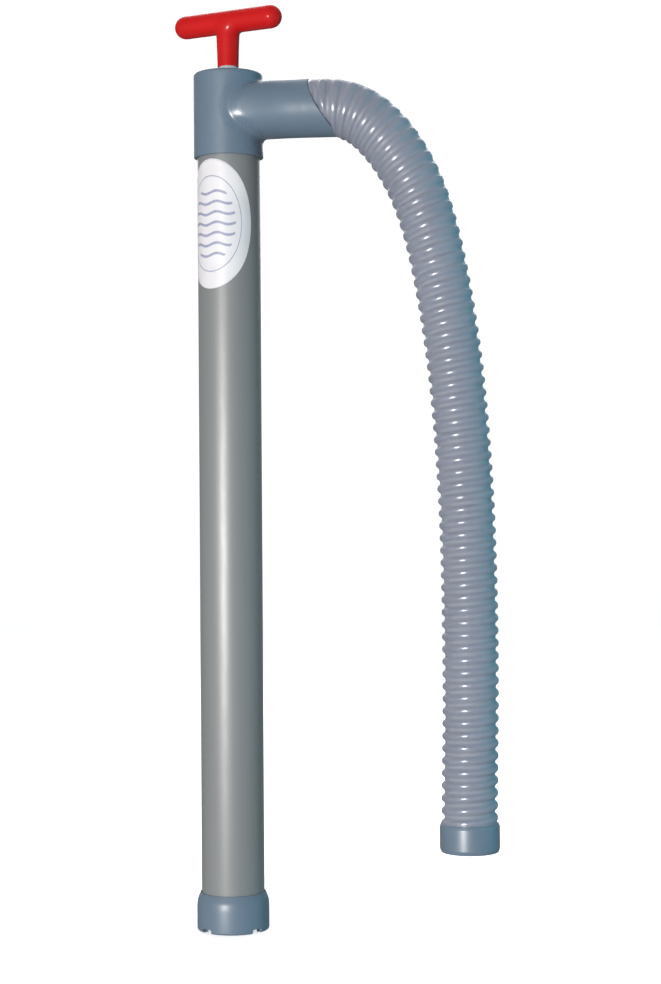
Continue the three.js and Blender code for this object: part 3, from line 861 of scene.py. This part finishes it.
def make_cup():
    low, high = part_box("piston_cup")
    base = low.z + 3 * MM
    profile = rounded([
        (12.5 * MM, low.z, 0.4 * MM), (high.x - 0.8 * MM, low.z, 0.8 * MM), (high.x - 0.4 * MM, base, 2 * MM),
        (high.x, high.z - 0.4 * MM, 0.3 * MM), (high.x - 0.6 * MM, high.z, 0.3 * MM),
        (high.x - 1.3 * MM, high.z, 0.2 * MM),
        (high.x - 1.7 * MM, base, 1 * MM), (12.5 * MM, base, 0.4 * MM),
    ])
    return turned("piston_cup_fine", profile, 160)


def make_retainer():
    """A hub with four rounded arms, drawn as one outline and given thickness."""
    low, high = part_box("piston_retainer")
    hub, reach, half = 8 * MM, high.x, 2.5 * MM
    root = math.sqrt(hub ** 2 - half ** 2)
    start = math.asin(half / hub)
    tip = np.linspace(-math.pi / 2, math.pi / 2, 13)
    between = np.linspace(start, math.pi / 2 - start, 9)[1:-1]
    outline = []
    for i in range(4):
        turn = Matrix.Rotation(TAU * i / 4, 2)
        arm = [(root, -half)]
        arm += [(reach - half + half * math.cos(a), half * math.sin(a)) for a in tip]
        arm += [(root, half)]
        arm += [(hub * math.cos(a), hub * math.sin(a)) for a in between]
        outline += [tuple(turn @ Vector(p)) for p in arm]
    count = len(outline)
    vertices = [(x, y, low.z) for x, y in outline] + [(x, y, high.z) for x, y in outline]
    faces = grid_faces(2, count) + [tuple(range(count)), tuple(range(2 * count - 1, count - 1, -1))]
    retainer = new_object("piston_retainer_fine", vertices, faces)
    boolean_cut(retainer, [drill(2.8 * MM, (0, 0), low.z - 1 * MM, high.z + 1 * MM)])
    bevel = retainer.modifiers.new("bevel", "BEVEL")
    bevel.width = 0.35 * MM
    bevel.segments = 3
    bevel.limit_method = "ANGLE"
    bevel.angle_limit = math.radians(50)
    apply_modifiers(retainer)
    shade(retainer, 30)
    return retainer


def make_washer():
    low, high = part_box("piston_washer")
    return turned("piston_washer_fine", rounded(ring_profile(2.7 * MM, high.x, low.z, high.z), 0.25 * MM), 96)


def make_screw():
    low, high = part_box("piston_screw")
    head_top = low.z + 3.4 * MM
    pitch, depth, shank = 1.0 * MM, 0.3 * MM, 2.4 * MM
    thread_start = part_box("pump_rod")[0].z + 1.5 * MM
    thread = [(shank, head_top), (shank, thread_start)]
    turns = int((high.z - thread_start) / pitch) - 1
    for i in range(turns):
        z = thread_start + (i + 0.5) * pitch
        thread += [(shank - depth, z), (shank, z + 0.5 * pitch)]
    profile = [(0, low.z)] + arc(high.x - 0.9 * MM, low.z + 0.9 * MM, 0.9 * MM, -90, 0)
    profile += [(high.x, head_top)] + thread + [(shank - 0.8 * MM, high.z), (0, high.z)]
    screw = turned("piston_screw_fine", profile, 64)
    slot_cutter = new_object("slot", *block((0, 0, low.z), (10 * MM, 0.6 * MM, 1.4 * MM)))
    boolean_cut(screw, [slot_cutter])
    shade(screw, 30)
    return screw


def block(centre, half):
    """Points and faces of a box, for a cutter."""
    corners = [(centre[0] + sx * half[0], centre[1] + sy * half[1], centre[2] + sz * half[2])
               for sz in (-1, 1) for sx, sy in ((-1, -1), (1, -1), (1, 1), (-1, 1))]
    return corners, grid_faces(2, 4) + [(0, 1, 2, 3), (7, 6, 5, 4)]


finish_piece(make_piston_body(), "piston", "fitting_plastic", FITTING, "piston_body")
finish_piece(make_cup(), "cup", "seal_rubber", RUBBER, "piston_cup")
finish_piece(make_retainer(), "piston", "fitting_plastic", FITTING, "piston_retainer")
finish_piece(make_washer(), "rod", "stainless_steel", STEEL, "piston_washer")
finish_piece(make_screw(), "rod", "stainless_steel", STEEL, "piston_screw")

# ---------------------------------------------------------------- rod and handle


def make_rod():
    low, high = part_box("pump_rod")
    return turned("pump_rod_fine", rounded(ring_profile(4.2 * MM, high.x, low.z, high.z), 0.4 * MM), 96)


def make_plug():
    low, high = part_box("rod_end_plug")
    return turned("rod_end_plug_fine", rounded(ring_profile(2.7 * MM, high.x, low.z, high.z), 0.3 * MM), 64)


def make_collar():
    low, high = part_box("stop_collar")
    return turned("stop_collar_fine", rounded(ring_profile(6.65 * MM, high.x, low.z, high.z), 0.8 * MM), 96)


OCTAGON = 0.9024     # how far a smoothed eight-sided cage draws in
GRIP_ANGLE = math.radians(-17)


def octagon(radius):
    """Eight cage points whose smoothed ring has the given radius."""
    turns = [TAU * i / 8 for i in range(8)]
    return [(radius / OCTAGON * math.cos(a), radius / OCTAGON * math.sin(a)) for a in turns]


def make_handle():
    """The T-handle as a coarse cage, smoothed by subdivision: a middle block, two arms and a stem."""
    low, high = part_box("handle")
    grip_r, straight = 7.7, 33.1
    grip_z = high.z / MM - grip_r
    stem_bottom = low.z / MM - grip_z
    cage = bmesh.new()

    def ring(points):
        return [cage.verts.new(p) for p in points]

    def bridge(a, b):
        for i in range(8):
            cage.faces.new((a[i], a[(i + 1) % 8], b[(i + 1) % 8], b[i]))

    side = grip_r / OCTAGON
    diagonal = side / math.sqrt(2)
    reach = 6.2
    # the middle block's points, by (x, y, z) signs
    block_points = {}
    for sx in (-1, 0, 1):
        for sy in (-1, 0, 1):
            for sz in (-1, 0, 1):
                if (sx, sy, sz) == (0, 0, 0):
                    continue
                y = sy * (diagonal if sz else side)
                z = sz * (diagonal if sy else side)
                x = sx * reach
                if sz < 0:
                    y = sy * (diagonal if sx else side * 1.02)
                    x = sx * (diagonal + 0.3 if sy else side + 0.2)
                    z = -7.3 if sy or not sx else -8.0
                block_points[sx, sy, sz] = cage.verts.new((x, y, z))
    loop = [(1, 0), (1, 1), (0, 1), (-1, 1), (-1, 0), (-1, -1), (0, -1), (1, -1)]

    def arm(sx):
        start = [block_points[sx, a, b] for a, b in loop]
        rows = [start]
        for x in (9.6, 13.5, 20, 27, 31):
            rows.append(ring([(sx * x, y, z) for y, z in octagon(grip_r)]))
        for angle in (0, 22.5, 45, 67.5):
            a = math.radians(angle)
            fit = 0.987 if angle == 0 else 0.9746
            r = grip_r / fit * math.cos(a)
            rows.append(ring([(sx * (straight + grip_r / fit * math.sin(a)), y, z) for y, z in octagon(r)]))
        for a, b in zip(rows, rows[1:]):
            bridge(a, b)
        pole = cage.verts.new((sx * (straight + grip_r * 1.015), 0, 0))
        for i in range(8):
            cage.faces.new((rows[-1][i], rows[-1][(i + 1) % 8], pole))

    def stem():
        rows = [[block_points[a, b, -1] for a, b in loop]]
        for z, r in ((-10.4, 7.85), (-13.5, 7.7), (-19, 7.5), (-25, 7.35), (stem_bottom + 0.9, 7.22),
                     (stem_bottom, 7.12), (stem_bottom, 6.78), (stem_bottom + 0.5, 6.65), (-20, 6.65),
                     (-11.5, 6.65), (-10.9, 6.5), (-10.9, 4.0)):
            rows.append(ring([(x, y, z) for x, y in octagon(r)]))
        for a, b in zip(rows, rows[1:]):
            bridge(a, b)
        pole = cage.verts.new((0, 0, -10.9))
        for i in range(8):
            cage.faces.new((rows[-1][i], rows[-1][(i + 1) % 8], pole))

    def skin(axis, sign, faces):
        """Quads over one open side of the middle block."""
        for a, b in faces:
            corners = []
            for u, v in ((a, b), (a + 1, b), (a + 1, b + 1), (a, b + 1)):
                key = [u - 1, v - 1]
                key.insert(axis, sign)
                corners.append(block_points[tuple(key)])
            cage.faces.new(corners)

    quarters = [(a, b) for a in (0, 1) for b in (0, 1)]
    skin(1, -1, quarters)
    skin(1, 1, quarters)
    skin(2, 1, quarters)
    arm(-1)
    arm(1)
    stem()
    for unused in ((-1, 0, 0), (1, 0, 0), (0, 0, -1)):
        cage.verts.remove(block_points[unused])
    bmesh.ops.recalc_face_normals(cage, faces=cage.faces)
    mesh = bpy.data.meshes.new("handle_fine")
    cage.to_mesh(mesh)
    cage.free()
    handle = bpy.data.objects.new("handle_fine", mesh)
    bpy.context.scene.collection.objects.link(handle)
    smooth = handle.modifiers.new("smooth", "SUBSURF")
    smooth.levels = 4
    smooth.render_levels = 4
    apply_modifiers(handle)
    lift = Matrix.Translation((0, 0, high.z - grip_r * MM))
    handle.data.transform(lift @ Matrix.Rotation(GRIP_ANGLE, 4, "Z") @ Matrix.Scale(MM, 4))
    shade(handle, 60)
    return handle


finish_piece(make_rod(), "rod", "rod_plastic", ROD, "pump_rod")
finish_piece(make_plug(), "rod", "rod_plastic", ROD, "rod_end_plug")
finish_piece(make_collar(), "rod", "fitting_plastic", FITTING, "stop_collar")
finish_piece(make_handle(), "rod", "handle_plastic", GRIP_RED, "handle")

# ---------------------------------------------------------------- label

LABEL_TURN = math.radians(-110.6)
LABEL_HALF_ANGLE = math.radians(78)
LABEL_WAVES = (-0.48, -0.32, -0.16, 0.0, 0.16, 0.32, 0.48)


def label_material():
    """White film printed with a generic pattern: a thin oval line round seven waves."""
    m = Nodes("label_film")
    uv = m.add("ShaderNodeUVMap", uv_map="label").outputs["UV"]
    split = m.add("ShaderNodeSeparateXYZ")
    m.link(uv, split.inputs["Vector"])
    u, v = split.outputs["X"], split.outputs["Y"]

    def math_node(operation, a, b=None, clamp=False):
        node = m.add("ShaderNodeMath", operation=operation, use_clamp=clamp)
        for socket, value in zip(node.inputs, (a, b)):
            if value is None:
                continue
            if isinstance(value, (int, float)):
                socket.default_value = value
            else:
                m.link(value, socket)
        return node.outputs[0]

    def band(distance, half_width, softness=0.006):
        """1 within half_width of zero distance, and 0 outside it."""
        gap = math_node("ABSOLUTE", distance)
        return m.spread(gap, 1, 0, half_width - softness, half_width + softness)

    def within(value, limit):
        return m.spread(math_node("ABSOLUTE", value), 1, 0, limit - 0.01, limit + 0.01)

    radius = math_node("SQRT", math_node("ADD", math_node("POWER", u, 2), math_node("POWER", v, 2)))
    inside = m.spread(radius, 1, 0, 0.59, 0.61)
    lines = [band(math_node("SUBTRACT", radius, 0.735), 0.008)]
    for level in LABEL_WAVES:
        swell = math_node("MULTIPLY", math_node("SINE", math_node("MULTIPLY", u, 11.0)), 0.022)
        height = math_node("SUBTRACT", math_node("SUBTRACT", v, level), swell)
        lines.append(math_node("MULTIPLY", band(height, 0.020), inside))
    ink = lines[0]
    for line in lines[1:]:
        ink = math_node("MAXIMUM", ink, line)
    print_noise = m.noise(900, 3)
    faded = math_node("MULTIPLY", ink, m.spread(print_noise, 0.75, 1.0))
    film = m.mix(m.spread(m.noise(60, 3), 0, 1), linear(236, 236, 241), linear(244, 244, 248))
    m.link(m.mix(faded, film, linear(150, 158, 190)), m.shader.inputs["Base Color"])
    m.link(m.spread(m.noise(120, 4), 0.3, 0.42), m.shader.inputs["Roughness"])
    m.bump([(m.noise(300, 3), 0.05 * MM, 0.15)])
    return m.material


def make_label():
    low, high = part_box("label")
    middle, half_height = (low.z + high.z) / 2, (high.z - low.z) / 2
    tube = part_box("barrel_tube")[1].x
    spokes, rings = 144, 28
    under, over = tube + 0.03 * MM, tube + 0.2 * MM
    rows = []
    below = [(under, s) for s in np.linspace(0, 1, rings)]
    above = [(over, s) for s in np.linspace(0.996, 0, rings)]
    for radius, share in below + above:
        row = []
        for i in range(spokes):
            t = TAU * i / spokes
            theta = LABEL_TURN + LABEL_HALF_ANGLE * share * math.cos(t)
            z = middle + half_height * share * math.sin(t)
            row.append((radius * math.cos(theta), radius * math.sin(theta), z))
        rows.append(row)
    label = new_object("label_fine", np.array(rows).reshape(-1, 3), grid_faces(len(rows), spokes), 50)
    layer = label.data.uv_layers.new(name="label")
    for loop in label.data.loops:
        x, y, z = label.data.vertices[loop.vertex_index].co
        turn = (math.atan2(y, x) - LABEL_TURN + math.pi) % TAU - math.pi
        layer.data[loop.index].uv = (turn / LABEL_HALF_ANGLE, (z - middle) / half_height)
    return label


finish_piece(make_label(), "barrel", "label_film", label_material(), "label")

# ---------------------------------------------------------------- floor, backdrop and lights


BACKDROP_GLOW = 0.70
BACKDROP_HALF_WIDTH = 14.0
FLOOR_BACK = 3.0        # where the floor starts to curve up behind the pump
FLOOR_TURN_R = 0.9
WALL_TOP = 6.0
WORLD_GLOW = 0.205


def make_backdrop():
    """A pale floor that curves up into a wall behind the pump."""
    back = Vector((-math.sin(CAMERA_AZIMUTH), math.cos(CAMERA_AZIMUTH), 0))
    right = Vector((math.cos(CAMERA_AZIMUTH), math.sin(CAMERA_AZIMUTH), 0))
    turns = np.linspace(0, math.pi / 2, 24)[1:]
    sides = (-BACKDROP_HALF_WIDTH, BACKDROP_HALF_WIDTH)
    curve = [(-BACKDROP_HALF_WIDTH, 0.0), (FLOOR_BACK, 0.0)]
    curve += [
        (FLOOR_BACK + FLOOR_TURN_R * math.sin(a), FLOOR_TURN_R - FLOOR_TURN_R * math.cos(a))
        for a in turns
    ]
    curve.append((FLOOR_BACK + FLOOR_TURN_R, WALL_TOP))
    rows = [
        [back * depth + right * side + Vector((0, 0, height)) for side in sides]
        for depth, height in curve
    ]
    points = [tuple(p) for row in rows for p in row]
    backdrop = new_object("backdrop", points, grid_faces(len(rows), 2, close_columns=False), 80)
    m = Nodes("pale_paper")
    paper = m.mix(m.noise(2.5, 2), (0.79, 0.79, 0.80, 1), (0.81, 0.81, 0.82, 1))
    m.link(paper, m.shader.inputs["Base Color"])
    m.set(Roughness=0.9, Emission_Color=(1, 1, 1, 1), Emission_Strength=BACKDROP_GLOW)
    backdrop.data.materials.append(m.material)
    backdrop.visible_glossy = False
    backdrop.visible_diffuse = False


def area_light(name, place, target, size, power, colour=(1, 1, 1)):
    data = bpy.data.lights.new(name, "AREA")
    data.shape = "RECTANGLE"
    data.size, data.size_y = size
    data.energy = power
    data.color = colour
    light = bpy.data.objects.new(name, data)
    bpy.context.scene.collection.objects.link(light)
    light.location = place
    light.rotation_euler = (Vector(target) - Vector(place)).to_track_quat("-Z", "Y").to_euler()
    return light


def seen_from_camera(turn_left, distance, height):
    """A place turned left of the camera's direction by some degrees, as seen from the barrel."""
    a = CAMERA_AZIMUTH - math.radians(turn_left)
    return (distance * math.sin(a), -distance * math.cos(a), height)


def make_lights():
    """A small warm key, a teal fill on the right, weak light from above, below and behind."""
    middle = (0.05, 0, 0.3)
    key_place = seen_from_camera(25.4, 3.0, 0.14)
    area_light("key", key_place, (0.05, 0, 0.25), (0.2, 0.22), 72, (1.0, 0.96, 0.93))
    fill_place = seen_from_camera(-84, 1.5, 0.4)
    fill = area_light("right_fill", fill_place, middle, (0.6, 1.4), 12.0, (0.06, 0.85, 1.0))
    top = area_light("top", (0.0, 0.9, 2.6), (0.0, 1.0, 0.3), (2.5, 1.5), 30)
    low_place = seen_from_camera(0, 0.6, 0.03)
    low = area_light("low_fill", low_place, (0.1, 0, 0.45), (0.9, 0.5), 0.7, (0.72, 0.9, 1.0))
    behind = area_light("behind", seen_from_camera(180, 1.3, 1.25), middle, (1.6, 1.2), 14)
    for light in (fill, top, low):
        light.visible_glossy = False
    for light in (fill, top, low, behind):
        light.visible_camera = False
    world = bpy.data.worlds.new("studio")
    bpy.context.scene.world = world
    world.use_nodes = True
    world.node_tree.nodes["Background"].inputs["Color"].default_value = (1, 1, 1, 1)
    world.node_tree.nodes["Background"].inputs["Strength"].default_value = WORLD_GLOW


make_backdrop()
make_lights()
bpy.context.scene.view_settings.view_transform = "Standard"
